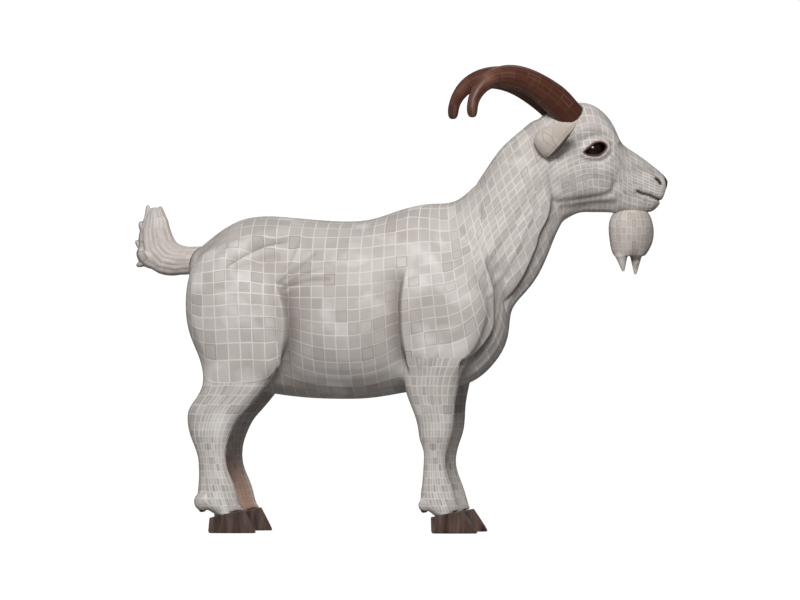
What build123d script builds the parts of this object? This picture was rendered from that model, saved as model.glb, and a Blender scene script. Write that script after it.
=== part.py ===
from build123d import *
import os
from math import cos, pi, sin

# Life-size display goat: moulded shells on a steel armature, with cast horns, ears, beard and tail,
# glass eyes and cloven hooves. Millimetres. +X runs towards the head, +Y to the goat's own left,
# +Z up. The origin is on the ground, under the middle of the whole figure.

os.makedirs("parts", exist_ok=True)

# ---------------------------------------------------------------- driving dimensions
WALL = 6.0                      # moulded shell thickness
HEAD_TURN = 20.0                # the head looks this many degrees to the goat's left
HEAD_PIVOT_X = 332.5            # upright axis that the head is turned about
SECTION_POINTS = 12             # points round each body section
LEG_POINTS = 8                  # and round each leg section
SEAM_ANGLE = pi / 2             # sections start at the goat's left side

TUBE_R = 17.0                   # armature tubes
TUBE_WALL = 3.0
ROD_R = 8.0                     # armature leg rods
ROD_HOLE_R = 14.0               # where a rod passes through a shell
CHANNEL_R = 11.0                # channel for a rod through the solid end of a leg
CHANNEL_TOP = 150.0

ANCHOR_R = 9.0                  # threaded ground anchors in the feet
ANCHOR_HOLE_R = 4.25
ANCHOR_LENGTH = 44.0
ANCHOR_HOLE_DEPTH = 30.0

EYE_R = 22.0
EYE_CENTRE = (418.0, -49.0, 840.0)

STUD_R = 5.0                    # steel studs bonded into horns, tail and beard

FRONT_STANCE = 86.0             # side distance of a front hoof from the middle
HIND_STANCE = 118.0
HOOF_HALF_WIDTH = 30.0
CLEFT = 4.0                     # gap between the two claws of a hoof

# Body stations, tail to neck: top of the section (x, z), bottom (x, z), half width,
# height of the widest point (share of half the height, from the middle), side fullness.
BODY = [
    ((-467, 595), (-462, 446), 34, 0.10, 0.95),
    ((-444, 628), (-436, 375), 76, 0.10, 0.90),
    ((-411, 654), (-396, 340), 100, 0.08, 0.88),
    ((-360, 685), (-344, 318), 118, 0.04, 0.86),
    ((-300, 696), (-284, 305), 127, 0.00, 0.85),
    ((-222, 691), (-211, 296), 140, -0.06, 0.85),
    ((-144, 685), (-138, 293), 155, -0.10, 0.85),
    ((-67, 688), (-58, 296), 155, -0.12, 0.86),
    ((0, 709), (22, 309), 139, -0.14, 0.90),
    ((56, 722), (89, 316), 126, -0.16, 0.94),
    ((96, 724), (156, 329), 116, -0.16, 0.95),
    ((122, 729), (204, 366), 104, -0.15, 0.94),
    ((147, 745), (238, 428), 90, -0.12, 0.92),
    ((169, 767), (246, 483), 78, -0.10, 0.92),
    ((193, 802), (276, 525), 70, -0.06, 0.92),
    ((222, 842), (307, 566), 64, 0.00, 0.92),
    ((251, 870), (329, 613), 60, 0.02, 0.92),
    ((280, 894), (344, 650), 60, 0.06, 0.92),
    ((307, 908), (358, 679), 62, 0.10, 0.92),
]
NECK_BASE = 13                  # the neck starts at this body station
NECK_TOP = 17                   # and the head moulding at this one

# Head stations, neck to nose, as for the body, before the head is turned.
HEAD = [
    BODY[-1],
    ((340, 925), (383, 696), 64, 0.16, 0.92),
    ((372, 938), (406, 703), 66, 0.22, 0.92),
    ((406, 945), (428, 703), 66, 0.26, 0.92),
    ((437, 934), (451, 703), 64, 0.26, 0.92),
    ((462, 911), (471, 702), 58, 0.24, 0.92),
    ((480, 878), (491, 701), 50, 0.18, 0.90),
    ((500, 850), (509, 701), 44, 0.10, 0.88),
    ((527, 833), (530, 701), 39, 0.06, 0.86),
    ((555, 813), (548, 703), 36, 0.04, 0.86),
    ((575, 798), (563, 706), 33, 0.04, 0.88),
    ((589, 785), (576, 718), 28, 0.04, 0.92),
    ((597, 774), (586, 738), 17, 0.00, 1.00),
]

# Leg stations, top to bottom: height, centre x, half length, centre y, half width.
FRONT_LEG = [
    (655, 81, 34, 52, 22),
    (616, 93, 72, 70, 38),
    (566, 102, 93, 82, 46),
    (512, 110, 102, 86, 50),
    (468, 109, 101, 88, 47),
    (424, 103, 92, 90, 42),
    (391, 93, 80, 91, 38),
    (358, 85, 68, 92, 34),
    (318, 82, 60, 91, 31),
    (280, 85, 50, 90, 28),
    (237, 91, 41, 88, 26),
    (210, 90, 36, 87, 25),
    (186, 90, 28, 86, 20),
    (129, 90, 28, 86, 19),
    (100, 94, 35, 86, 23),
    (74, 97, 40, 86, 26),
    (50, 109, 36, 86, 26),
    (24, 120, 34, 86, 26),
]
HIND_LEG = [
    (640, -348, 36, 52, 24),
    (608, -359, 76, 76, 42),
    (562, -363, 96, 90, 50),
    (501, -358, 108, 97, 52),
    (452, -352, 109, 100, 49),
    (419, -346, 104, 103, 45),
    (388, -341, 95, 106, 41),
    (355, -341, 85, 109, 37),
    (322, -352, 74, 112, 33),
    (296, -369, 70, 114, 30),
    (270, -388, 67, 116, 28),
    (248, -399, 58, 117, 26),
    (221, -404, 48, 118, 24),
    (197, -404, 39, 118, 21),
    (170, -401, 32, 118, 19),
    (138, -397, 33, 118, 20),
    (107, -391, 40, 118, 24),
    (80, -388, 45, 118, 27),
    (55, -376, 42, 118, 27),
    (26, -363, 37, 118, 27),
]

# Hoof outlines from the side (x, z): heel, sole, toe and the sloping top edge.
FRONT_HOOF = [(87, 0), (182, 0), (180, 6), (149, 50), (83, 36), (84, 4)]
HIND_HOOF = [(-402, 0), (-304, 0), (-306, 6), (-331, 51), (-402, 34), (-405, 4)]

# Horn centre line from the base up over the poll and down behind it: x, side distance, z, radius.
HORN = [
    (376, 28, 912, 33),
    (349, 34, 937, 33),
    (310, 44, 968, 31),
    (269, 54, 990, 28),
    (229, 64, 1000, 25.5),
    (195, 73, 997, 22),
    (167, 82, 984, 18),
    (147, 90, 961, 14.5),
    (138, 95, 939, 12.5),
    (136, 98, 921, 11.5),
    (136, 99, 913, 9),
    (136, 99, 909, 4),
]

# Ear, before the head is turned: root to tip (x, side distance, z), half height and half thickness.
EAR = [
    (296, 50, 845, 22, 10),
    (306, 66, 845, 33, 13),
    (322, 84, 855, 38, 13),
    (338, 102, 869, 31, 10),
    (352, 117, 882, 19, 7),
    (363, 127, 892, 7, 4),
]

EAR_WALL = 5.0                  # rim left round the ear's cup
EAR_ACROSS = Vector(0.54, 0, -0.84)

HORN_SEAT = (386, 27, 902)      # inner end of a horn's stud, and its direction
HORN_AXIS = (-0.73, 0.14, 0.67)
HORN_STUD_LENGTH = 85.0
BEARD_SEAT = (516, 0, 724)
BEARD_STUD_LENGTH = 60.0
TAIL_SEAT = (-425, 0, 601)
TAIL_STUD_LENGTH = 75.0
CONE_ALIGN = (Align.CENTER, Align.CENTER, Align.MIN)

# Beard stations, top to bottom: height, centre x, half length, half width.
BEARD = [
    (712, 516, 26, 20),
    (698, 515, 42, 32),
    (678, 515, 49, 38),
    (656, 516, 50, 39),
    (632, 515, 46, 34),
    (608, 512, 34, 24),
]
BEARD_TIPS = [((492, -6, 612), (497, -4, 574), 15), ((528, 6, 612), (526, 4, 567), 14)]

# Tail centre line from the rump back and up: x, z, half height across the line, half width.
TAIL = [
    (-438, 604, 26, 20),
    (-462, 602, 27, 21),
    (-492, 600, 34, 23),
    (-520, 606, 40, 24),
    (-540, 628, 41, 24),
    (-546, 660, 36, 22),
    (-545, 690, 27, 17),
]
TAIL_TIPS = [((-560, 0, 682), (-563, 0, 720), 13), ((-530, 0, 682), (-534, 0, 718), 13)]

# Dewclaws behind each foot: skin bulb (x, z, radius), horny tip (x, z), side pitch of the pair.
FRONT_BULB = (66, 62, 11)
HIND_BULB = (-421, 68, 16)
DEWCLAW_PITCH = 26.0
DEWCLAW_SIZE = (9.0, 9.0, 13.0)

# Armature routes. Side distance is given for the right side as a positive number.
SPINE_Z = 577.0
SPINE_X = (-372.0, 128.0)
FRONT_CROSS_X = 89.0
HIND_CROSS_X = -344.0
CROSS_R = 13.0
CROSS_HALF_LENGTH = 92.0
NECK_ROUTE = [(60, 0, 577), (170, 0, 577), (262, 0, 700), (318, 0, 800), (345, 8, 836)]
FRONT_ROD = [
    (89, 75, 592),
    (89, 76, 500),
    (94, 84, 400),
    (98, 86, 260),
    (98, 86, 44),
]
HIND_ROD = [
    (-344, 75, 592),
    (-344, 78, 500),
    (-342, 100, 372),
    (-402, 118, 250),
    (-386, 118, 165),
    (-386, 118, 44),
]

NOSE_CUT = [(578, 830), (588, 762), (594, 748), (660, 748), (660, 830)]

MOUTH_CORNER = (524.0, 749.0)
MOUTH_FRONT = (606.0, 718.0)
JAW_BACK = [(446.0, 722.0), (412.0, 690.0)]


# ---------------------------------------------------------------- shape helpers
def section_frame(station, yaw=0.0):
    """Middle of a station, its upward and sideways unit vectors and half its height."""
    (top_x, top_z), (low_x, low_z) = station[:2]
    middle = Vector((top_x + low_x) / 2, 0, (top_z + low_z) / 2)
    up = Vector(top_x - low_x, 0, top_z - low_z)
    side = Vector(0, 1, 0).rotate(Axis.Z, yaw)
    return middle, up.normalized().rotate(Axis.Z, yaw), side, up.length / 2


def ring(station, inset=0.0, yaw=0.0):
    """Closed egg-shaped outline of a body or head station, turned about its own middle by yaw."""
    half_width, widest, fullness = station[2:]
    middle, up, side, half_height = section_frame(station, yaw)
    points = []
    for i in range(SECTION_POINTS):
        angle = SEAM_ANGLE + 2 * pi * i / SECTION_POINTS
        across = (half_width - inset) * abs(sin(angle)) ** fullness
        height = (half_height - inset) * (cos(angle) + widest * sin(angle) ** 2)
        points.append(middle + side * (across if sin(angle) > 0 else -across) + up * height)
    return Wire([Edge.make_spline(points, periodic=True)])


def station_plane(station, yaw=0.0, shift=0.0):
    """Plane through a station, facing towards the nose."""
    middle, up, side, _ = section_frame(station, yaw)
    forward = side.cross(up)
    return Plane(origin=middle + forward * shift, x_dir=side, z_dir=forward)


def neck_yaw(index):
    """The neck takes up the head's turn a little at each station above its base."""
    share = max(0.0, (index - NECK_BASE) / (len(BODY) - 1 - NECK_BASE))
    return HEAD_TURN * share * share * (3 - 2 * share)


def body_solid(inset=0.0, first=0):
    return Solid.make_loft([ring(BODY[i], inset, neck_yaw(i)) for i in range(first, len(BODY))])


def head_solid(inset=0.0, last=len(HEAD)):
    return Solid.make_loft([ring(station, inset) for station in HEAD[:last]])


def leg_solid(stations, inset=0.0):
    rings = []
    for height, x, half_length, y, half_width in stations:
        points = []
        for i in range(LEG_POINTS):
            angle = 2 * pi * (i + 0.5) / LEG_POINTS
            along = (half_length - inset) * cos(angle)
            points.append(Vector(x + along, -y + (half_width - inset) * sin(angle), height))
        rings.append(Wire([Edge.make_spline(points, periodic=True)]))
    return Solid.make_loft(rings)


def beyond(plane):
    """Half of all space, on the side a plane faces."""
    return plane * Box(3000, 3000, 1500, align=(Align.CENTER, Align.CENTER, Align.MIN))


def prism(outline, y_from, y_to):
    """Side outline (x, z) pushed across the goat from y_from to y_to."""
    face = Face(Wire.make_polygon([(x, y_from, z) for x, z in outline]))
    return Solid.extrude(face, Vector(0, y_to - y_from, 0))


def ball(x, y, z, radius):
    return Pos(x, y, z) * Sphere(radius)


def rod(points, radius, bend):
    path = FilletPolyline(*points, radius=bend)
    return sweep(Plane(origin=path @ 0, z_dir=path % 0) * Circle(radius), path=path)


def tube(points, radius, inner_radius, bend):
    path = FilletPolyline(*points, radius=bend)
    start = Plane(origin=path @ 0, z_dir=path % 0)
    return sweep(start * (Circle(radius) - Circle(inner_radius)), path=path)


def largest(shape):
    """The main solid of a cut, without the slivers that fall away."""
    return max(shape.solids(), key=lambda solid: solid.volume)


def turned(shape):
    """Turns a piece of the head with the head."""
    return shape.rotate(Axis((HEAD_PIVOT_X, 0, 0), (0, 0, 1)), HEAD_TURN)


def mirrored(shape):
    """The goat's left-hand copy of a right-hand piece."""
    return shape.mirror(Plane.XZ)


def save(shape, node):
    export_step(shape, f"parts/{node}.step")


# ---------------------------------------------------------------- body, neck and head blanks
body_outer = body_solid()
body_inner = body_solid(WALL, 1)
body_skin = body_outer - body_inner
head_outer = head_solid()
head_inner = head_solid(WALL, len(HEAD) - 2)
head_skin = head_outer - head_inner
neck_low = station_plane(BODY[NECK_BASE])
neck_high = station_plane(BODY[NECK_TOP], neck_yaw(NECK_TOP))
right_side = beyond(Plane(origin=(0, 0, 0), z_dir=(0, -1, 0)))


# ---------------------------------------------------------------- armature
def side_route(route):
    return [(x, -y, z) for x, y, z in route]


neck_tube = tube(NECK_ROUTE, TUBE_R - TUBE_WALL, TUBE_R - 2 * TUBE_WALL, 40)
spine_route = Plane(origin=(SPINE_X[0], 0, SPINE_Z), z_dir=(1, 0, 0))
spine_length = SPINE_X[1] - SPINE_X[0]
spine_blank = extrude(spine_route * Circle(TUBE_R), spine_length)
spine_bore = extrude(spine_route * Circle(TUBE_R - TUBE_WALL), spine_length)
cross_bars = []
for cross_x in (FRONT_CROSS_X, HIND_CROSS_X):
    end = Plane(origin=(cross_x, -CROSS_HALF_LENGTH, SPINE_Z), z_dir=(0, 1, 0))
    cross_bars.append(extrude(end * Circle(CROSS_R), 2 * CROSS_HALF_LENGTH))
right_rods = [rod(side_route(FRONT_ROD), ROD_R, 20), rod(side_route(HIND_ROD), ROD_R, 20)]
spine_tube = spine_blank - spine_bore - cross_bars[0] - cross_bars[1]
neck_tube = neck_tube - cross_bars[0]
front_cross = cross_bars[0] - right_rods[0] - mirrored(right_rods[0])
hind_cross = cross_bars[1] - right_rods[1] - mirrored(right_rods[1])
for name, shape in zip(("front_rod", "hind_rod"), right_rods):
    save(shape, name + "_right")
    save(mirrored(shape), name + "_left")
save(spine_tube, "spine_tube")
save(neck_tube, "neck_tube")
save(front_cross, "front_cross_bar")
save(hind_cross, "hind_cross_bar")


# ---------------------------------------------------------------- feet and legs
def hoof_blank(outline, centre_y):
    """Both claws of a right hoof as one block with a rounded plan shape."""
    heel = min(x for x, z in outline)
    toe = max(x for x, z in outline)
    plan = [
        (heel, -centre_y - 0.80 * HOOF_HALF_WIDTH),
        ((heel + toe) / 2, -centre_y - HOOF_HALF_WIDTH),
        (toe - 18, -centre_y - 0.78 * HOOF_HALF_WIDTH),
        (toe, -centre_y - 0.40 * HOOF_HALF_WIDTH),
        (toe, -centre_y + 0.40 * HOOF_HALF_WIDTH),
        (toe - 18, -centre_y + 0.78 * HOOF_HALF_WIDTH),
        ((heel + toe) / 2, -centre_y + HOOF_HALF_WIDTH),
        (heel, -centre_y + 0.80 * HOOF_HALF_WIDTH),
    ]
    side_view = prism(outline, -centre_y - 60, -centre_y + 60)
    top_view = extrude(make_face(Spline(*plan, periodic=True)), 80)
    return side_view & top_view


def claw_tool(centre_y, outer):
    """Space taken by one claw of a right foot, leaving half the cleft clear."""
    middle = -CLEFT / 2 - 30 if outer else CLEFT / 2 + 30
    return Pos(0, -centre_y + middle, 40) * Box(1200, 60, 120)


FEET = [
    ("front", FRONT_LEG, FRONT_HOOF, FRONT_STANCE, FRONT_BULB, FRONT_ROD),
    ("hind", HIND_LEG, HIND_HOOF, HIND_STANCE, HIND_BULB, HIND_ROD),
]
rod_paths = []
for name, stations, outline, stance, bulb, route in FEET:
    x = route[-1][0]
    anchor = Pos(x, -stance, 0) * Cylinder(ANCHOR_R, ANCHOR_LENGTH, align=CONE_ALIGN)
    bore = Pos(x, -stance, 0) * Cylinder(ANCHOR_HOLE_R, ANCHOR_HOLE_DEPTH, align=CONE_ALIGN)
    hoof = hoof_blank(outline, stance)
    outer = leg_solid(stations)
    channel = Pos(x, -stance, 0) * Cylinder(CHANNEL_R, CHANNEL_TOP, align=CONE_ALIGN)
    leg = largest(outer - leg_solid(stations[1:-4], WALL) - body_outer - hoof - channel)
    tips = []
    for i in (-1, 1):
        y = -stance + i * DEWCLAW_PITCH / 2
        bump = ball(bulb[0], y, bulb[1], bulb[2])
        leg += bump - outer - hoof
        tip = Pos(bulb[0] - 3, y, bulb[1] - bulb[2] + 1) * scale(Sphere(1), by=DEWCLAW_SIZE)
        tips.append(tip - bump - outer - hoof)
    dewclaws = Compound(tips)
    outer_claw = (hoof & claw_tool(stance, True)) - anchor
    inner_claw = (hoof & claw_tool(stance, False)) - anchor
    for side, place in (("right", lambda shape: shape), ("left", mirrored)):
        save(place(leg), f"{name}_leg_{side}")
        save(place(outer_claw), f"{name}_outer_claw_{side}")
        save(place(inner_claw), f"{name}_inner_claw_{side}")
        save(place(dewclaws), f"{name}_dewclaws_{side}")
        save(place(anchor - bore), f"{name}_anchor_{side}")
    rod_paths.append(rod(side_route(route)[:4], ROD_HOLE_R, 20))


# ---------------------------------------------------------------- head
jaw_space = prism([MOUTH_FRONT, MOUTH_CORNER, *JAW_BACK, (JAW_BACK[-1][0], 640), (640, 640)], -150, 150)
jaw_space -= beyond(Plane(origin=(640, 0, 0), z_dir=(1, 0, 0)))
nose_space = prism(NOSE_CUT, -80, 80)
eye = ball(*EYE_CENTRE, EYE_R)
eyes = [eye, mirrored(eye)]


def horn_solid():
    points = [Vector(x, -y, z) for x, y, z, radius in HORN]
    path = Spline(*points)
    rings = []
    for point, station in zip(points, HORN):
        at = path.position_at(path.param_at_point(point))
        along = path.tangent_at(path.param_at_point(point))
        rings.append(Wire.make_circle(station[3], Plane(origin=at, z_dir=along)))
    return Solid.make_loft(rings)


def dowel(foot, direction, length):
    return extrude(Plane(origin=foot, z_dir=direction) * Circle(STUD_R), length)


def ear_solid():
    points = [Vector(x, -y, z) for x, y, z, half_width, half_thick in EAR]
    along = (points[-1] - points[0]).normalized()
    across = (EAR_ACROSS - along * EAR_ACROSS.dot(along)).normalized()
    inward = along.cross(across)
    body = []
    scoop = []
    for point, station in zip(points, EAR):
        half_width, half_thick = station[3:]
        body.append(Wire.make_ellipse(half_width, half_thick, Plane(point, across, along)))
        if station is not EAR[-1]:
            at = Plane(point + inward * half_thick + along * EAR_WALL, across, along)
            scoop.append(Wire.make_ellipse(half_width - EAR_WALL, half_thick, at))
    return Solid.make_loft(body) - Solid.make_loft(scoop)


horn_foot = Vector(HORN_SEAT[0], -HORN_SEAT[1], HORN_SEAT[2])
horn_axis = Vector(HORN_AXIS[0], -HORN_AXIS[1], HORN_AXIS[2])
horn_stud = dowel(horn_foot, horn_axis, HORN_STUD_LENGTH)
horn = largest(horn_solid() - horn_stud - head_outer)
ear_blade = ear_solid()

beard_stud = dowel(Vector(*BEARD_SEAT), Vector(0, 0, -1), BEARD_STUD_LENGTH)
jaw = (head_skin & jaw_space) - beard_stud
beard_rings = []
for height, x, half_length, half_width in BEARD:
    beard_rings.append(Wire.make_ellipse(half_length, half_width, Plane(origin=(x, 0, height))))
beard = Solid.make_loft(beard_rings)
for root, end, radius in BEARD_TIPS:
    line = Vector(*end) - Vector(*root)
    beard += Plane(origin=root, z_dir=line) * Cone(radius, 3, line.length, align=CONE_ALIGN)
    beard += ball(*root, radius)
beard = beard - head_outer - beard_stud

nose_pad = head_outer & nose_space
skull = head_skin - jaw_space - nose_space - eyes[0] - eyes[1]
skull = skull - horn_stud - mirrored(horn_stud)
head = turned(skull) + (body_skin & beyond(neck_high))

save(head, "head_shell")
save(turned(jaw), "lower_jaw")
save(turned(nose_pad), "nose_pad")
save(turned(beard), "beard")
save(turned(beard_stud), "beard_stud")
save(turned(eyes[0]), "eye_right")
save(turned(eyes[1]), "eye_left")
save(turned(horn), "horn_right")
save(turned(mirrored(horn)), "horn_left")
save(turned(horn_stud), "horn_stud_right")
save(turned(mirrored(horn_stud)), "horn_stud_left")
for side, blade in (("right", ear_blade), ("left", mirrored(ear_blade))):
    save(largest(turned(blade - head_outer) - body_outer), f"ear_{side}")


# ---------------------------------------------------------------- neck, torso and tail
neck = (body_skin & beyond(neck_low)) - beyond(neck_high)
tail_seat = Vector(*TAIL_SEAT)
tail_stud = dowel(tail_seat, Vector(-1, 0, 0), TAIL_STUD_LENGTH)
torso = (body_skin - beyond(neck_low)) & right_side
torso = torso - tail_stud - rod_paths[0] - rod_paths[1]

tail_path = Spline(*[Vector(x, 0, z) for x, z, half_height, half_width in TAIL])
tail_rings = []
for x, z, half_height, half_width in TAIL:
    along = tail_path.tangent_at(tail_path.param_at_point(Vector(x, 0, z)))
    at = Plane(origin=(x, 0, z), x_dir=along.cross(Vector(0, 1, 0)), z_dir=along)
    tail_rings.append(Wire.make_ellipse(half_height, half_width, at))
tail = Solid.make_loft(tail_rings)
for root, end, radius in TAIL_TIPS:
    line = Vector(*end) - Vector(*root)
    tail += Plane(origin=root, z_dir=line) * Cone(radius, 3, line.length, align=CONE_ALIGN)
    tail += ball(*root, radius)
tail = tail - body_outer - tail_stud

save(torso, "torso_shell_right")
save(mirrored(torso), "torso_shell_left")
save(neck, "neck_shell")
save(tail, "tail")
save(tail_stud, "tail_stud")
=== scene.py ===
import math

import bmesh
import bpy
import numpy as np
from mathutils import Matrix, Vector
from mathutils.bvhtree import BVHTree


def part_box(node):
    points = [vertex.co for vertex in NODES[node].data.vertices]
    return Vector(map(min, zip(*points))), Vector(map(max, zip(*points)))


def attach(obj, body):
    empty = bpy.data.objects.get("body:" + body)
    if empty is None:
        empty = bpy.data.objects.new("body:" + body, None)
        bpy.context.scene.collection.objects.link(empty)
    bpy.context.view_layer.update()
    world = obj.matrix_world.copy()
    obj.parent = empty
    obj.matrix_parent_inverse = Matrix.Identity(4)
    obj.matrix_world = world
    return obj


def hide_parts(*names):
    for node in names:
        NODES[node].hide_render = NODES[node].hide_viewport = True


# The looks of the display goat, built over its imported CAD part. One skin is taken from the CAD
# shells, joined smoothly and sculpted, then cut up again into one closed shell for each CAD node.
# Lengths in the tables are millimetres, and MM turns them into metres.

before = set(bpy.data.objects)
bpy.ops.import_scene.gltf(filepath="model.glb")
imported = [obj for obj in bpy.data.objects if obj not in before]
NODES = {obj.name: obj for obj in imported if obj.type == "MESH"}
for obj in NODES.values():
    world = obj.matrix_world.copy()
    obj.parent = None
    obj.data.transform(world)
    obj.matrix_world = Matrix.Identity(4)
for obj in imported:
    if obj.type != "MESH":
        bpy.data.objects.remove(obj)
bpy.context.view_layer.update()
MM = 0.001

# ---------------------------------------------------------------- guide lines for the skin
# Spine stations, tail to crown: top (x, z) and bottom (x, z) of the body's cross-section.
SPINE = [
    (-467, 595, -462, 446), (-444, 628, -436, 375), (-411, 654, -396, 340), (-360, 685, -344, 318),
    (-300, 696, -284, 305), (-222, 691, -211, 296), (-144, 685, -138, 293), (-67, 688, -58, 296),
    (0, 709, 22, 309), (56, 722, 89, 316), (96, 724, 156, 329), (122, 729, 204, 366),
    (147, 745, 238, 428), (169, 767, 246, 483), (193, 802, 276, 525), (222, 842, 307, 566),
    (251, 870, 329, 613), (280, 894, 344, 650), (307, 908, 358, 679),
]
# Head stations, crown to nose, before the head is turned.
SKULL = [
    (340, 925, 383, 696), (372, 938, 406, 703), (406, 945, 428, 703), (437, 934, 451, 703),
    (462, 911, 471, 702), (480, 878, 491, 701), (500, 850, 509, 701), (527, 833, 530, 701),
    (555, 813, 548, 703), (575, 798, 563, 706), (589, 785, 576, 718), (596, 776, 585, 734),
]
NECK_BASE = 13
HEAD_TURN = math.radians(20)
HEAD_PIVOT = 332.5
# Metres: the head is ahead of this x, and its eyes are further than this from its middle plane.
HEAD_START = 0.30
EYE_SIDE = 0.03
# Leg centre lines, top to foot: height, x, side distance.
LEG_AXES = {
    "front": [(655, 82, 60), (566, 102, 82), (468, 109, 88), (391, 93, 91), (318, 82, 91),
              (237, 91, 88), (186, 90, 86), (100, 94, 86), (50, 109, 86), (30, 117, 86)],
    "hind": [(640, -346, 62), (562, -363, 90), (452, -352, 100), (388, -341, 106), (322, -352, 112),
             (270, -388, 116), (221, -404, 118), (170, -401, 118), (107, -391, 118), (55, -376, 118),
             (32, -366, 118)],
}
# Skin bulbs over each pair of dewclaws, metres: x, z, radius, and their distance either side.
BULBS = {"front": (0.068, 0.062, 0.014), "hind": (-0.419, 0.069, 0.019)}
BULB_SPREAD = 0.013
# Horn centre line, base to tip, before the head is turned: x, side distance, z.
HORN_LINE = [(376, 28, 912), (349, 34, 937), (310, 44, 968), (269, 54, 990), (229, 64, 1000),
             (195, 73, 997), (167, 82, 984), (147, 90, 961), (138, 95, 939), (136, 99, 909)]
HORN_CELLS = 16
HORN_CELL = 30 * MM
# Opening between the eyelids, and the mouth, from the side, before the head is turned (x, z).
EYE_OPENING = [(393, 834), (404, 845), (417, 854), (430, 857), (440, 853), (444, 846), (438, 836),
               (426, 829), (412, 828), (401, 830)]
MOUTH = [(522, 749), (534, 744), (548, 741), (562, 735), (577, 729), (592, 723)]
# Grid cells round the body and round a leg, and the height where a leg's own grid takes over.
BODY_CELLS = 36
LEG_CELLS = 24
GRID_CHANGE = {"front": 0.385, "hind": 0.33}
SKIN_NODES = ["torso_shell_right", "torso_shell_left", "neck_shell", "head_shell", "lower_jaw"]
LEG_NODES = ["front_leg_right", "front_leg_left", "hind_leg_right", "hind_leg_left"]

VOXEL = 2.6 * MM
SHELL = 4.0 * MM


# ---------------------------------------------------------------- mesh helpers
def node_arrays(name):
    """A CAD node's points and faces."""
    mesh = NODES[name].data
    points = np.empty(len(mesh.vertices) * 3)
    mesh.vertices.foreach_get("co", points)
    return points.reshape(-1, 3), [tuple(p.vertices) for p in mesh.polygons]


def tree_of(names):
    """Search tree over the surfaces of these CAD nodes, and which node each face belongs to."""
    points, faces, owner = [], [], []
    count = 0
    for index, name in enumerate(names):
        own_points, own_faces = node_arrays(name)
        points.append(own_points)
        faces += [tuple(v + count for v in face) for face in own_faces]
        owner += [index] * len(own_faces)
        count += len(own_points)
    points = np.vstack(points)
    return BVHTree.FromPolygons([Vector(p) for p in points], faces), np.array(owner)


def first_hit(tree, middle, direction, reach):
    """Outermost front-facing surface seen from outside along one spoke, or None."""
    start = middle + direction * reach
    left = reach
    while left > 0:
        spot, normal, _, length = tree.ray_cast(start, -direction, left)
        if spot is None:
            return None
        if normal.dot(direction) > 0:
            return spot
        start = spot - direction * 1e-4
        left -= length + 1e-4
    return None


def make_mesh(name, points, faces):
    """A mesh object in the scene."""
    mesh = bpy.data.meshes.new(name)
    mesh.from_pydata([tuple(p) for p in points], [], [tuple(f) for f in faces])
    mesh.update()
    obj = bpy.data.objects.new(name, mesh)
    bpy.context.scene.collection.objects.link(obj)
    return obj


def ring_faces(rings, around, start=0):
    """Quads between closed rings of points, with a cap on each end."""
    faces = []
    for i in range(rings - 1):
        for j in range(around):
            k = (j + 1) % around
            a = start + i * around
            faces.append((a + j, a + k, a + around + k, a + around + j))
    faces.append(tuple(start + j for j in reversed(range(around))))
    faces.append(tuple(start + (rings - 1) * around + j for j in range(around)))
    return faces


def lump(centre, radii, tilt=0.0):
    """An ellipsoid, tilted in the side view, as (points, faces)."""
    rows_of, around = 12, 16
    points = []
    for i in range(1, rows_of):
        polar = math.pi * i / rows_of
        for j in range(around):
            angle = 2 * math.pi * j / around
            across = math.sin(polar)
            a = radii[0] * math.cos(polar)
            b = radii[1] * across * math.cos(angle)
            c = radii[2] * across * math.sin(angle)
            points.append((centre[0] + a * math.cos(tilt) - c * math.sin(tilt), centre[1] + b,
                           centre[2] + a * math.sin(tilt) + c * math.cos(tilt)))
    return points, ring_faces(rows_of - 1, around)


def remeshed(name, points, faces, voxel):
    """One closed surface round overlapping solids, as (points, quads)."""
    obj = make_mesh(name, points, faces)
    modifier = obj.modifiers.new("union", "REMESH")
    modifier.mode = "VOXEL"
    modifier.voxel_size = voxel
    shape = obj.evaluated_get(bpy.context.evaluated_depsgraph_get()).to_mesh()
    out = np.empty(len(shape.vertices) * 3)
    shape.vertices.foreach_get("co", out)
    quads = np.array([tuple(p.vertices) for p in shape.polygons])
    bpy.data.objects.remove(obj)
    return out.reshape(-1, 3), quads


def edges_of(quads):
    """Each edge once, as a pair of point numbers."""
    pairs = np.vstack([quads[:, [i, (i + 1) % 4]] for i in range(4)])
    return np.unique(np.sort(pairs, axis=1), axis=0)


def relaxed(points, edges, weight, rounds):
    """Moves each point towards the middle of its neighbours, by its weight each round."""
    count = np.bincount(edges.ravel(), minlength=len(points))[:, None]
    for _ in range(rounds):
        total = np.empty_like(points)
        for axis in range(3):
            total[:, axis] = np.bincount(edges[:, 0], points[edges[:, 1], axis], len(points))
            total[:, axis] += np.bincount(edges[:, 1], points[edges[:, 0], axis], len(points))
        points = points + weight[:, None] * (total / np.maximum(count, 1) - points)
    return points


def normals_of(points, quads):
    """Unit normal at each point, from the faces round it."""
    across = np.cross(points[quads[:, 2]] - points[quads[:, 0]],
                      points[quads[:, 3]] - points[quads[:, 1]])
    normals = np.zeros_like(points)
    for corner in range(4):
        for axis in range(3):
            normals[:, axis] += np.bincount(quads[:, corner], across[:, axis], len(points))
    return normals / np.maximum(np.linalg.norm(normals, axis=1), 1e-12)[:, None]


def smooth_step(x):
    """0 below 0, 1 above 1, and smooth between."""
    x = np.clip(x, 0, 1)
    return x * x * (3 - 2 * x)


# ---------------------------------------------------------------- cross-section planes
def turn_z(vectors, angle):
    """Vectors turned about the upright axis."""
    c, s = np.cos(angle), np.sin(angle)
    out = np.array(vectors, float)
    out[..., 0] = c * vectors[..., 0] - s * vectors[..., 1]
    out[..., 1] = s * vectors[..., 0] + c * vectors[..., 1]
    return out


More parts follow.
